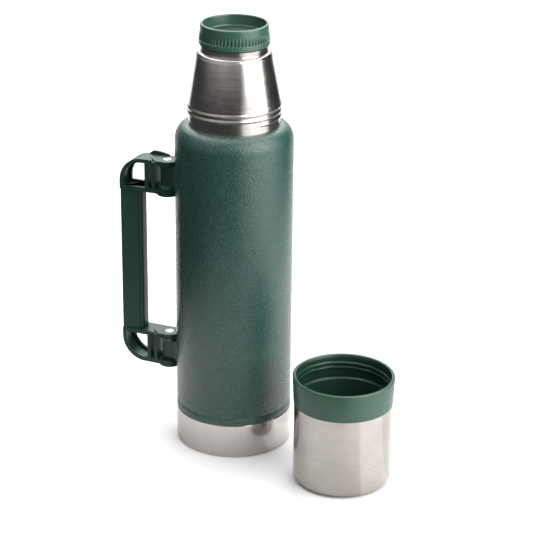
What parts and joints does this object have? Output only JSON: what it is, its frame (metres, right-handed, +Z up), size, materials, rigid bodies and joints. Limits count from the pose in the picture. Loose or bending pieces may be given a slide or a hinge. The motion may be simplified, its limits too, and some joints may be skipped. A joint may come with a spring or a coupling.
{
  "type": "vacuum flask",
  "caption": "Steel vacuum flask with a fold-out side handle, a screw stopper in its neck and a separate drinking cup standing beside it.",
  "frame": {"origin": "middle of the flask's foot, on the flask's axis", "axes": "+Z up along the flask, -X towards the fold-out handle; the cup stands on the +X side"},
  "size_m": [0.2639, 0.1314, 0.3736],
  "materials": {
    "body_paint": "dark green hammered paint, glossy",
    "band_steel": "brushed round the axis",
    "neck_steel": "bright, finely turned",
    "vessel_steel": "satin",
    "pin_steel": "polished",
    "bracket_steel": "satin",
    "handle_plastic": "dark green, fine satin",
    "cover_plastic": "dark green, fine satin",
    "knuckle_plastic": "dark green",
    "detent_plastic": "green",
    "cap_plastic": "green, semi-gloss",
    "plug_plastic": "green",
    "foam": "rigid foam",
    "silicone": "pale silicone",
    "liner_plastic": "dark green, satin",
    "getter_metal": "plain"
  },
  "bodies": {
    "flask": {"outer_shell": "body_paint", "base_cup": "band_steel", "vacuum_seal_disc": "vessel_steel", "inner_vessel": "vessel_steel", "getter": "getter_metal", "neck_shell": "neck_steel", "upper_knuckle": "knuckle_plastic", "lower_knuckle": "knuckle_plastic", "upper_saddle": "bracket_steel", "lower_saddle": "bracket_steel", "upper_pin": "pin_steel", "lower_pin": "pin_steel"},
    "handle": {"handle_frame": "handle_plastic", "grip_cover": "cover_plastic", "upper_detent": "detent_plastic", "lower_detent": "detent_plastic"},
    "stopper_carrier": {"stopper_seal": "silicone"},
    "stopper": {"stopper_cap": "cap_plastic", "stopper_plug": "plug_plastic", "stopper_core": "foam", "stopper_end": "plug_plastic"},
    "cup": {"cup_shell": "band_steel", "cup_liner": "liner_plastic", "cup_spacer": "foam"}
  },
  "joints": [
    {"name": "handle_fold", "type": "hinge", "parent": "flask", "child": "handle", "pos_m": [-0.06227, 0, 0.167], "axis": [0, 0, 1], "range_deg": [0, 98]},
    {"name": "stopper_rise", "type": "slide", "parent": "flask", "child": "stopper_carrier", "axis": [0, 0, 1], "range_m": [0, 0.0361]},
    {"name": "stopper_turn", "type": "hinge", "parent": "stopper_carrier", "child": "stopper", "pos_m": [0, 0, 0.36], "axis": [0, 0, 1], "range_deg": [0, 720]},
    {"name": "cup_lift", "type": "slide", "parent": "flask", "child": "cup", "axis": [0, 0, 1], "range_m": [0, 0.25]}
  ],
  "couplings": [
    {"joint": "stopper_rise", "follows": "stopper_turn", "m_per_rad": 0.002865}
  ]
}
